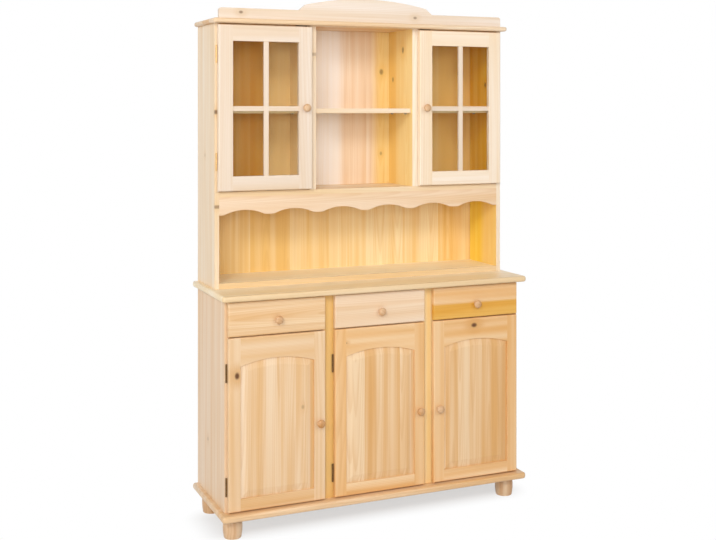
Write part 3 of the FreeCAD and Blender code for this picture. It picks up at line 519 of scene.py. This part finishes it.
def framed(name, middle_x, rail_half):
    """Directions for a door frame: the rails' grain runs across and the stiles' grain runs up.

    The right stile has the number 0, the left one and the rails have their own, and a rail above the
    height of UPPER_RAILS adds another.
    """
    recipe = Recipe(name)
    x, y, z = recipe.place()
    rail = abs(x - middle_x).below(rail_half)
    upper = rail * z.above(UPPER_RAILS)
    along = z + (x - z) * rail
    wide = x + (z - x) * rail
    board = rail * RAIL + (1 - rail) * x.below(middle_x) * LEFT_STILE + upper * UPPER_RAIL
    return recipe, along, wide, y, board


def dress(node, material):
    """Put a finish on a solid, in place of the plain one that it came with."""
    piece = nodes[node]
    if piece.material_slots:
        for slot in piece.material_slots:
            slot.material = material
    else:
        piece.data.materials.append(material)


print("directions ready: one way and framed")

# %% [markdown]
# ## A piece of pine for every board
#
# The list says for each board which way its grain runs, which way its width lies, its tone, and how wide
# its staves are if it is glued up. One material for all would repeat the same figure on every front, so
# each board has its own, with a seed of its own. The knots are where the picture shows them, and a few more
# are on the sides that it doesn't show.

# %% Boards
BOARDS = {
    "base_posts": ("Z", "X", "amber", None),
    "base_board": ("X", "Y", "straw", 0.085),
    # The worktop is paler than the boards below: partly the wood, partly painted light that falls on its top
    # from above.
    "worktop": ("X", "Y", "linen", 0.085),
    "base_back_panel": ("Z", "X", "honey", 0.078),
    "drawer_rails": ("X", "Y", "honey", None),
    "base_shelves": ("X", "Y", "honey", 0.07),
    "drawer_runners": ("Y", "X", "honey", None),
    # The two left sides are paler and rosier than the right ones: partly the wood, partly painted cool light
    # on the left side.
    "hutch_side_left": ("Z", "Y", "cream", 0.086),
    "hutch_side_right": ("Z", "Y", "honey", 0.086),
    "base_side_left": ("Z", "Y", "rosy", 0.092),
    "base_side_right": ("Z", "Y", "honey", 0.092),
    "base_partition_left": ("Z", "Y", "honey", 0.085),
    "base_partition_right": ("Z", "Y", "honey", 0.085),
    # The two partitions and the hutch's bottom board are paler and more golden than the boards outside:
    # partly the wood, partly painted warm light thrown from wall to wall inside the hutch.
    "hutch_partition_left": ("Z", "Y", "butter", 0.085),
    "hutch_partition_right": ("Z", "Y", "apricot", 0.085),
    "hutch_bottom_board": ("X", "Y", "oat", 0.08),
    "hutch_cabinet_floor": ("X", "Y", "cream", 0.08),
    "hutch_apron": ("X", "Z", "rosy", None),
    "cornice": ("X", "Y", "straw", 0.09),
    "crest": ("X", "Z", "blush", None),
    # The back panel and the cabinet shelves hold painted warm light of the same kind besides the wood's
    # tone.
    "hutch_back_panel": ("Z", "X", "sunny", 0.082),
    "hutch_open_shelf": ("X", "Y", "cream", 0.08),
    "hutch_cabinet_shelves": ("X", "Y", "butter", 0.08),
    "drawer_left_front": ("X", "Z", "gold", None),
    "drawer_middle_front": ("X", "Z", "rosy", None),
    "drawer_right_front": ("X", "Z", "honey", None),
    "door_left_panel": ("Z", "X", "straw", 0.056),
    "door_middle_panel": ("Z", "X", "gold", 0.048),
    "door_right_panel": ("Z", "X", "gold", 0.052),
}
# Each door frame: its tone and the width of its stiles
FRAMES = {
    "door_left_frame": ("straw", 0.044),
    "door_middle_frame": ("honey", 0.044),
    "door_right_frame": ("honey", 0.044),
    "glass_door_left_frame": ("blush", 0.054),
    "glass_door_right_frame": ("shell", 0.054),
}
print("boards:", len(BOARDS), "frames:", len(FRAMES))

# %% Knots in the boards
# Each knot: its place along the grain and across it, its size and its strength
KNOTS = {
    "door_left_frame": [(0.582, -0.556, 0.0095, 1.0)],
    "door_left_panel": [(0.447, -0.309, 0.006, 0.3)],
    "door_middle_frame": [(-0.141, 0.663, 0.004, 0.7)],
    "door_right_frame": [(0.395, 0.688, 0.0095, 1.0)],
    "hutch_side_left": [
        (1.510, -0.030, 0.006, 0.8),
        (1.349, 0.099, 0.005, 0.4),
        (1.166, -0.030, 0.005, 0.6),
    ],
    "hutch_side_right": [(1.62, 0.06, 0.008, 0.7)],
    "base_side_left": [(0.303, 0.058, 0.006, 0.4)],
    "base_side_right": [(0.52, 0.02, 0.009, 0.9), (0.21, 0.11, 0.006, 0.7)],
    "hutch_partition_right": [(1.755, 0.057, 0.010, 0.7), (1.640, 0.150, 0.008, 0.6)],
    "hutch_partition_left": [(1.727, -0.030, 0.005, 0.4)],
    "hutch_back_panel": [(1.672, 0.168, 0.009, 0.6), (1.34, 0.166, 0.006, 0.4)],
    "crest": [(-0.503, 1.874, 0.006, 0.7), (0.203, 1.875, 0.006, 0.6)],
    "base_back_panel": [(0.32, -0.37, 0.009, 0.9), (0.61, 0.21, 0.007, 0.8)],
    "worktop": [(-0.21, -0.02, 0.006, 0.4)],
}
print("knots:", sum(len(some) for some in KNOTS.values()))

# %% [markdown]
# In the picture a board isn't one tone all over: inside the hutch some faces are more golden than others,
# and some front edges differ from the faces beside them. Part of that is the wood, and part is light thrown
# from wall to wall and shade. The zones put all of it into the colour, so they hold painted light and
# painted shade besides tone, which is a compromise: it fits this picture, and under other light the golden
# zones look yellower than pine is. A zone is a range along the grain, across it and through it. Most zones
# end at an edge or behind another board, and one in the middle of a face begins and ends softly, because a
# hard border there would look like a glued-on strip.

# %% Tones within a board
# Each zone: from and to along the grain, across it and through it, the tone, and the half width of its
# borders across the grain
FAR = 9.0
ALL = (-FAR, FAR)
CABINETS = (1.21, FAR)
WORKTOP_NOSING, HUTCH_FRONT_EDGE = (-FAR, -0.19), (-FAR, -0.0275)
BEFORE_BACK, BACK_FACE = (-FAR, 0.188), (-FAR, 0.1905)
SIDE_INNER_FACE = (0.0, 0.5885)
SHARP, EASED, SOFT = 0.0002, 0.005, 0.03
ZONES = {
    "base_posts": [(ALL, (0.0, FAR), ALL, "sunny", SHARP)],
    "worktop": [(ALL, WORKTOP_NOSING, ALL, "wheat", EASED)],
    "hutch_bottom_board": [(ALL, HUTCH_FRONT_EDGE, ALL, "wheat", SHARP)],
    "drawer_right_front": [(ALL, (0.0, 0.776), ALL, "ochre", EASED)],
    # The golden zones on the right side's inner face are partly the wood and partly painted warm light
    # thrown from wall to wall in the niche and the right cabinet.
    "hutch_side_right": [
        (ALL, BEFORE_BACK, SIDE_INNER_FACE, "citrus", SHARP),
        (ALL, (-FAR, 0.085), SIDE_INNER_FACE, "apricot", SOFT),
        (CABINETS, BEFORE_BACK, SIDE_INNER_FACE, "orange", SHARP),
        (ALL, HUTCH_FRONT_EDGE, ALL, "cream", SHARP),
    ],
    "hutch_partition_left": [(ALL, HUTCH_FRONT_EDGE, ALL, "cream", SHARP)],
    "hutch_partition_right": [(ALL, HUTCH_FRONT_EDGE, ALL, "cream", SHARP)],
    # On the back panel the pale zone at the left of the open shelf is a painted pool of light, the golden
    # zones at its right and in the cabinets are partly painted warm light thrown from wall to wall, and the
    # dark zone at the far left of the left cabinet is painted shade.
    "hutch_back_panel": [
        (CABINETS, ALL, BACK_FACE, "rosy", SHARP),
        (CABINETS, (-FAR, -0.01), BACK_FACE, "bleached", SOFT),
        (CABINETS, (0.14, FAR), BACK_FACE, "apricot", SOFT),
        (CABINETS, (-FAR, -0.215), BACK_FACE, "butter", SHARP),
        (CABINETS, (-FAR, -0.33), BACK_FACE, "russet", SOFT),
        (CABINETS, (0.215, FAR), BACK_FACE, "toffee", SHARP),
    ],
}
print("boards with zones:", len(ZONES))

# %% Dress the boards
BOARD_SEED, FRAME_SEED = 1, 60

for seed, (node, (grain, across, tone_name, stave)) in enumerate(BOARDS.items(), start=BOARD_SEED):
    centre, _ = lengths_of(node)
    at = dict(zip("XYZ", centre))
    middle = (at[grain], at[across], at[third_axis(grain, across)])
    directions = one_way(f"pine_{node}", grain, across)
    _, along, wide, thick, _ = directions
    zones = [(along.between(*length) * wide.within(*width, soft) * thick.between(*depth), other)
             for length, width, depth, other, soft in ZONES.get(node, ())]
    dress(node, pine(seed, directions, middle, tone_name, stave, KNOTS.get(node, ()), zones))

for seed, (node, (tone_name, stile)) in enumerate(FRAMES.items(), start=FRAME_SEED):
    centre, size = lengths_of(node)
    directions = framed(f"pine_{node}", centre[0], size[0] / 2 - stile)
    dress(node, pine(seed, directions, tuple(centre), tone_name, None, KNOTS.get(node, ())))
print("dressed:", len(BOARDS) + len(FRAMES))

# %% [markdown]
# ## Glazing bars and drawer boxes
#
# Both are small frames again. In a glazed door the upright bar runs through and the level bar crosses it.
# In a drawer the two sides run from front to back, and the back and bottom run across between them. As in
# the door frames, the material asks where a point lies, and no face has to be picked by hand.

# %% Bars and boxes
# Half an upright bar's width, a box side's thickness, and the numbers of the pieces that run across
BAR_HALF, LEVEL_BAR = 0.009, 3.0
BOX_SIDE, BOX_CROSS_BOARDS = 0.012, 4.0
BAR_SEED, BOX_SEED = 80, 90

for seed, side in enumerate(("left", "right"), start=BAR_SEED):
    node = f"glass_door_{side}_bars"
    recipe = Recipe(f"pine_{node}")
    x, y, z = recipe.place()
    centre, _ = lengths_of(node)
    level = 1 - abs(x - centre[0]).below(BAR_HALF)
    directions = recipe, z + (x - z) * level, x + (z - x) * level, y, level * LEVEL_BAR
    dress(node, pine(seed, directions, tuple(centre), "blush"))

for seed, bay in enumerate(("left", "middle", "right"), start=BOX_SEED):
    node = f"drawer_{bay}_box"
    recipe = Recipe(f"pine_{node}")
    x, y, z = recipe.place()
    centre, size = lengths_of(node)
    between = abs(x - centre[0]).below(size[0] / 2 - BOX_SIDE)
    along = y + (x - y) * between
    wide = z + y * between
    thick = x + (z - x) * between
    directions = recipe, along, wide, thick, between * BOX_CROSS_BOARDS
    dress(node, pine(seed, directions, (centre[1], centre[2], centre[0]), "honey"))
print("glazing bars and drawer boxes dressed")

# %% [markdown]
# ## Knobs and feet from the lathe
#
# A turned piece is a profile swung round an axis, so it is a surface of two parameters: how far along the
# profile, and the angle. Writing the profile as a few arcs keeps it true to how a turner shapes it: a
# flared foot, a neck, a cove out to the rim and a dome. The solids in the frame have the same outline in
# fewer facets.


# %% Lathe
def arc(start, end, begins, count):
    """A quarter ellipse of (radius, height) points that begins along the axis or across it."""
    turn = np.linspace(0, math.pi / 2, count)
    early, late = np.sin(turn), 1 - np.cos(turn)
    shares = (late, early) if begins == "along" else (early, late)
    start, end = np.array(start), np.array(end)
    return start + (end - start) * np.stack(shares, axis=1)


def lathe(profile, base, axis, turns=56):
    """A closed turned surface. profile rows are (radius, height), the first and last with radius 0.

    A point is base + height along the axis + radius times (cosine, sine of the angle) across it. The two end
    rows are one vertex each, so the poles are closed.
    """
    profile = np.asarray(profile, float)
    rows = profile[1:-1]
    axis = np.asarray(axis, float)
    side = np.array([1.0, 0.0, 0.0])
    angle = np.arange(turns) * 2 * math.pi / turns
    ring = np.cos(angle)[:, None] * side + np.sin(angle)[:, None] * np.cross(axis, side)
    shell = rows[:, 0, None, None] * ring + rows[:, 1, None, None] * axis
    ends = profile[[0, -1], 1, None] * axis
    points = np.concatenate([shell.reshape(-1, 3), ends]) + np.asarray(base, float)
    row, column = np.meshgrid(np.arange(len(rows) - 1) * turns, np.arange(turns), indexing="ij")
    following = (column + 1) % turns
    wall = np.stack([row + column, row + following, row + turns + following, row + turns + column], axis=-1)
    around, beyond = column[0], following[0]
    top = (len(rows) - 1) * turns
    foot = np.stack([beyond, around, np.full(turns, len(points) - 2)], axis=1)
    crown = np.stack([top + around, top + beyond, np.full(turns, len(points) - 1)], axis=1)
    return points, wall.reshape(-1, 4).tolist() + foot.tolist() + crown.tolist()


def new_piece(name, shape, material, body, replaced=None):
    """A smooth mesh at the origin that rides on a body, and stands for a solid if one is named."""
    points, faces = shape
    mesh = bpy.data.meshes.new(name)
    mesh.from_pydata(points.tolist(), [], faces)
    mesh.polygons.foreach_set("use_smooth", np.ones(len(mesh.polygons), bool))
    mesh.materials.append(material)
    piece = bpy.data.objects.new(name, mesh)
    bpy.context.scene.collection.objects.link(piece)
    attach(piece, body)
    if replaced:
        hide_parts(replaced)


print("lathe ready")

# %% Knobs
# Each arc: its first and last (radius, height), the way that it begins, and its number of points
KNOB_PROFILE = np.concatenate([
    [(0, 0)],
    arc((0.0090, 0), (0.0065, 0.005), "across", 7),
    arc((0.0065, 0.009), (0.0138, 0.0122), "along", 8),
    arc((0.0138, 0.0122), (0.0150, 0.0140), "across", 5)[1:],
    arc((0.0150, 0.0150), (0, 0.024), "along", 14),
])
TOWARDS_FRONT = (0, -1, 0)
MOVING = [f"{kind}_{bay}" for kind in ("drawer", "door") for bay in ("left", "middle", "right")]
MOVING += ["glass_door_left", "glass_door_right"]
KNOB_SEED = 100

for seed, body in enumerate(MOVING, start=KNOB_SEED):
    node = f"{body}_knob"
    low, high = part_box(node)
    centre = (low + high) / 2
    directions = one_way(f"pine_{node}", "Y", "X")
    wood = pine(seed, directions, (centre.y, centre.x, centre.z), "brown")
    shape = lathe(KNOB_PROFILE, (centre.x, high.y, centre.z), TOWARDS_FRONT)
    new_piece(f"{node}_turned", shape, wood, body, node)
print("knobs:", len(MOVING), "of", len(KNOB_PROFILE), "profile points each")

# %% [markdown]
# The four feet are short barrels with eased ends: a cylinder whose radius swells by half a wave of a sine
# from one end to the other. They are one piece, as in the frame. The material folds the floor plan at its
# middle lines, so all four feet have their heart in the same place, and the numbers of the wood keep them
# apart.

# %% Feet
FOOT_TALL, FOOT_ROWS = 0.075, 22
FOOT_ENDS, FOOT_BELLY = 0.031, 0.004
FOOT_EASE, FOOT_EASE_ROWS = 0.002, 5
FOOT_X, FOOT_Y = 0.557, (-0.124, 0.150)
LEFT_FEET, FRONT_FEET = 3.0, 5.0
FOOT_SEED = 120


def joined(shapes):
    """Several (points, faces) shapes as one."""
    firsts = np.cumsum([0] + [len(points) for points, _ in shapes])
    faces = [[corner + first for corner in face]
             for (_, some), first in zip(shapes, firsts) for face in some]
    return np.concatenate([points for points, _ in shapes]), faces


height = np.linspace(FOOT_EASE, FOOT_TALL - FOOT_EASE, FOOT_ROWS)
barrel = FOOT_ENDS + FOOT_BELLY * np.sin(math.pi * height / FOOT_TALL)
foot_profile = np.concatenate([
    [(0, 0)],
    arc((barrel[0] - FOOT_EASE, 0), (barrel[0], FOOT_EASE), "across", FOOT_EASE_ROWS)[:-1],
    np.stack([barrel, height], axis=1),
    arc((barrel[-1], height[-1]), (barrel[-1] - FOOT_EASE, FOOT_TALL), "along", FOOT_EASE_ROWS)[1:],
    [(0, FOOT_TALL)],
])
recipe = Recipe("pine_feet")
x, y, z = recipe.place()
row_middle, row_half = sum(FOOT_Y) / 2, (FOOT_Y[1] - FOOT_Y[0]) / 2
which_foot = x.below(0.0) * LEFT_FEET + y.below(row_middle) * FRONT_FEET
directions = recipe, z, abs(x), abs(y - row_middle), which_foot
wood = pine(FOOT_SEED, directions, (FOOT_TALL / 2, FOOT_X, row_half), "brown")
places = [(foot_x, foot_y, 0) for foot_x in (-FOOT_X, FOOT_X) for foot_y in FOOT_Y]
feet = joined([lathe(foot_profile, place, (0, 0, 1)) for place in places])
new_piece("feet_turned", feet, wood, "cabinet", "feet")
print("feet:", len(places))

# %% [markdown]
# ## Glass
#
# Window glass lets nearly everything through and mirrors a little, more at a grazing angle, so it is a mix
# of a clear shader and a glossy one. A real glass shader would bend the light twice for nothing and darken
# the shelves behind it. The share of gloss is 4 percent straight on and grows with the fifth power of the
# slant, which Layer Weight gives plainly at a Blend of one half. The gloss is a dark grey, because the white
# studio would lie on the panes like a veil.

# %% Glass
MIRROR_GREY, MIRROR_ROUGH = 0.12, 0.04
STRAIGHT_ON, SLANT_POWER = 0.04, 5.0

pane = Recipe("window_glass")
clear = pane.add("ShaderNodeBsdfTransparent", sockets={"Color": tint(255, 255, 253)})
mirror_colour = (MIRROR_GREY, MIRROR_GREY, MIRROR_GREY, 1)
mirror = pane.add("ShaderNodeBsdfGlossy", sockets={"Color": mirror_colour, "Roughness": MIRROR_ROUGH})
aslant = pane.add("ShaderNodeLayerWeight", sockets={"Blend": 0.5})["Facing"]
gloss = aslant.maths("POWER", SLANT_POWER) * (1 - STRAIGHT_ON) + STRAIGHT_ON
pane_look = pane.add("ShaderNodeMixShader", sockets={0: gloss, 1: clear, 2: mirror})
pane.add("ShaderNodeOutputMaterial", sockets={"Surface": pane_look})
for side in ("left", "right"):
    dress(f"glass_door_{side}_pane", pane.material)
print("panes glazed, gloss straight on:", STRAIGHT_ON)

# %% [markdown]
# ## Bronze, brass, zinc and plastic
#
# The base's hinges are bronzed and rubbed unevenly, and the hutch's are brass, which hardly shows against
# pine. One recipe serves both: the height above the floor says which metal it is. Shelf pins, tie plates
# and their screws are zinc-plated, and the magnet catches are moulded in brown plastic. A flat colour would
# look like paint, so fine noise wears each finish a little.

# %% Metals and plastic
WEAR_PER_METRE, WEAR_DETAIL = 420.0, 3.0
WEAR_BEGINS, WEAR_ROUGH = (0.35, 0.65), 0.2
WORKTOP_TOP = 0.867
BRONZE = (tint(92, 68, 42), tint(146, 112, 68))
BRASS = (tint(204, 164, 104), tint(230, 194, 138))
ZINC = (tint(168, 170, 172), tint(206, 208, 210))
BROWN_PLASTIC = (tint(92, 62, 40), tint(112, 78, 50))


def worn_finish(name, base, hutch, metallic, rough):
    """A plain finish with fine wear: noise moves the colour and the roughness a little.

    base and hutch are the dark and the bright colour below the worktop's top and above it.
    """
    recipe = Recipe(name)
    x, y, z = recipe.place()
    upper = z.above(WORKTOP_TOP)
    wear = recipe.noise((x, y, z), (WEAR_PER_METRE, WEAR_PER_METRE, WEAR_PER_METRE), WEAR_DETAIL)
    dark, bright = (recipe.blend(upper, *pair) for pair in zip(base, hutch))
    colour = recipe.blend(wear.ease(*WEAR_BEGINS), dark, bright)
    roughness = wear * WEAR_ROUGH + rough
    return recipe.surface({"Metallic": metallic, "Base Color": colour, "Roughness": roughness})


hinge_metal = worn_finish("hinge_metal", BRONZE, BRASS, metallic=0.7, rough=0.33)
zinc = worn_finish("zinc_steel", ZINC, ZINC, metallic=1.0, rough=0.26)
plastic = worn_finish("catch_plastic", BROWN_PLASTIC, BROWN_PLASTIC, metallic=0.0, rough=0.4)

door_fittings = [f"{body}_fittings" for body in MOVING if "door" in body]
for node in door_fittings + ["hinge_leaves_fixed", "hinge_pins"]:
    dress(node, hinge_metal)
for node in ("shelf_pins", "tie_plates"):
    dress(node, zinc)
dress("magnet_catches", plastic)
print("hinges, pins, plates and catches dressed")

# %% [markdown]
# ## Softened edges
#
# Nobody leaves a board's edge sharp: sandpaper takes it off, and the thin line of light along an eased edge
# is what makes a board look real. A Bevel modifier does that without touching the solid. The Weld before it
# joins the seams that the solid's faces came in with. Solids that hold several boards are left alone.

# %% Eased edges
# Edges sharper than this angle are eased
EASE, EASE_SEGMENTS, EASE_ANGLE = 0.0012, 2, math.radians(50)
WELD_REACH = 0.00001
SEVERAL_BOARDS = ("base_posts", "drawer_rails", "base_shelves", "drawer_runners", "hutch_cabinet_shelves")

single_boards = [node for node in BOARDS if node not in SEVERAL_BOARDS]
for node in single_boards:
    weld = nodes[node].modifiers.new("seams", "WELD")
    weld.merge_threshold = WELD_REACH
    bevel = nodes[node].modifiers.new("eased_edges", "BEVEL")
    bevel.width = EASE
    bevel.segments = EASE_SEGMENTS
    bevel.limit_method = "ANGLE"
    bevel.angle_limit = EASE_ANGLE
print("eased:", len(single_boards))

# %% [markdown]
# ## Screws
#
# The frame holds what carries weight, and the screws are detail on top: a low domed head with a cross cut
# in it. A cross painted on would lie flat in any light, so the head is turned on the same lathe, and then
# the points inside the cross are pressed down. On the hinge leaves the heads are flush but for a hair,
# because a closed hinge has no room for more.

# %% Screw heads
# All in shares of the head's height or radius, but for the rows and turns
HEAD_RIM, HEAD_ROWS, HEAD_TURNS = 0.35, 12, 48
CROSS_HALF_WIDE, CROSS_HALF_LONG = 0.17, 0.62
CROSS_ABOVE, CROSS_DEEP = 0.3, 0.7


def screw_head(place, facing, radius, proud):
    """A domed head with a cross. A point lies in the cross if it is near one of two lines across the head.

    Of a point's three distances, in order of size, the first is 0, the second is the way from the nearer
    line, and the third the way along it. The cross is given in shares of the head's radius and height.
    """
    dome = arc((radius, proud * HEAD_RIM), (0, proud), "along", HEAD_ROWS)
    points, faces = lathe(np.concatenate([[(0, 0), (radius, 0)], dome]), place, facing, HEAD_TURNS)
    offset = points - np.array(place)
    facing = np.array(facing, float)
    high = offset @ facing
    flat = offset - high[:, None] * facing
    across = np.sort(np.abs(flat), axis=1)
    in_lines = (across[:, 1] < radius * CROSS_HALF_WIDE) & (across[:, 2] < radius * CROSS_HALF_LONG)
    in_cross = in_lines & (high > proud * CROSS_ABOVE)
    points = points - np.where(in_cross, high * CROSS_DEEP, 0)[:, None] * facing
    return points, faces


print("screw heads ready:", HEAD_TURNS, "points round")

# %% Tie plate screws
PLATE_HEAD, PLATE_PROUD = 0.0034, 0.0009
TOWARDS_BACK = (0, 1, 0)
TIE_X = 0.38
TIE_OUTER, TIE_INNER = 0.014, 0.046

tie_low, tie_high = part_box("tie_plates")
tie_heights = (tie_low.z + TIE_OUTER, tie_low.z + TIE_INNER, tie_high.z - TIE_INNER, tie_high.z - TIE_OUTER)
tie_screws = [screw_head((side * TIE_X, tie_high.y, z), TOWARDS_BACK, PLATE_HEAD, PLATE_PROUD)
              for side in (-1, 1) for z in tie_heights]
new_piece("tie_plate_screws", joined(tie_screws), zinc, "cabinet")
print("tie plate screws:", len(tie_screws))

# %% [markdown]
# Each hinge has a leaf on the carcase and a leaf on the door's back, with three screws each. The hinges sit
# at the same distances from the door's ends as in the frame, on the side that the door is hung on. A knob
# is held by one screw through the front from behind, which shows when the door or drawer stands open.

# %% Hinge screws
HUNG_ON = {"door_left": "left", "door_middle": "left", "door_right": "right",
           "glass_door_left": "left", "glass_door_right": "right"}
# Half a leaf's width, the heads, how far behind the door's back the two leaves face each other, the hinges'
# heights above a door's bottom and below its top, and the screws' places on a leaf
LEAF_HALF = 0.004
LEAF_HEAD, LEAF_PROUD = 0.0026, 0.0001
DOOR_LEAF_FACE, CARCASE_LEAF_FACE = 0.0011, 0.0014
BASE_HINGES, GLASS_HINGES = (0.087, 0.125), (0.108, 0.108)
LEAF_SCREWS = np.array([-0.022, 0.0, 0.022])

carcase_screws = {"hinge_bronze": [], "hinge_brass": []}
for body, hung in HUNG_ON.items():
    glazed = body.startswith("glass")
    slot = "hinge_brass" if glazed else "hinge_bronze"
    low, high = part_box(f"{body}_frame")
    above_bottom, below_top = GLASS_HINGES if glazed else BASE_HINGES
    x = low.x + LEAF_HALF if hung == "left" else high.x - LEAF_HALF
    door_face, carcase_face = high.y + DOOR_LEAF_FACE, high.y + CARCASE_LEAF_FACE
    heights = np.concatenate([low.z + above_bottom + LEAF_SCREWS, high.z - below_top + LEAF_SCREWS])
    door_screws = [screw_head((x, door_face, z), TOWARDS_BACK, LEAF_HEAD, LEAF_PROUD) for z in heights]
    new_piece(f"{body}_hinge_screws", joined(door_screws), hinge_metal, body)
    carcase_screws[slot] += [screw_head((x, carcase_face, z), TOWARDS_FRONT, LEAF_HEAD, LEAF_PROUD)
                             for z in heights]
for half, slot in (("base", "hinge_bronze"), ("hutch", "hinge_brass")):
    new_piece(f"{half}_hinge_screws", joined(carcase_screws[slot]), hinge_metal, "cabinet")
print("hinge screws:", 2 * sum(len(some) for some in carcase_screws.values()))

# %% Knob screws
KNOB_HEAD, KNOB_PROUD = 0.0042, 0.0014

for body in MOVING:
    low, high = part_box(f"{body}_knob")
    front = f"{body}_front" if body.startswith("drawer") else f"{body}_frame"
    place = ((low.x + high.x) / 2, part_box(front)[1].y, (low.z + high.z) / 2)
    head = screw_head(place, TOWARDS_BACK, KNOB_HEAD, KNOB_PROUD)
    new_piece(f"{body}_knob_screw", head, zinc, body)
print("knob screws:", len(MOVING))
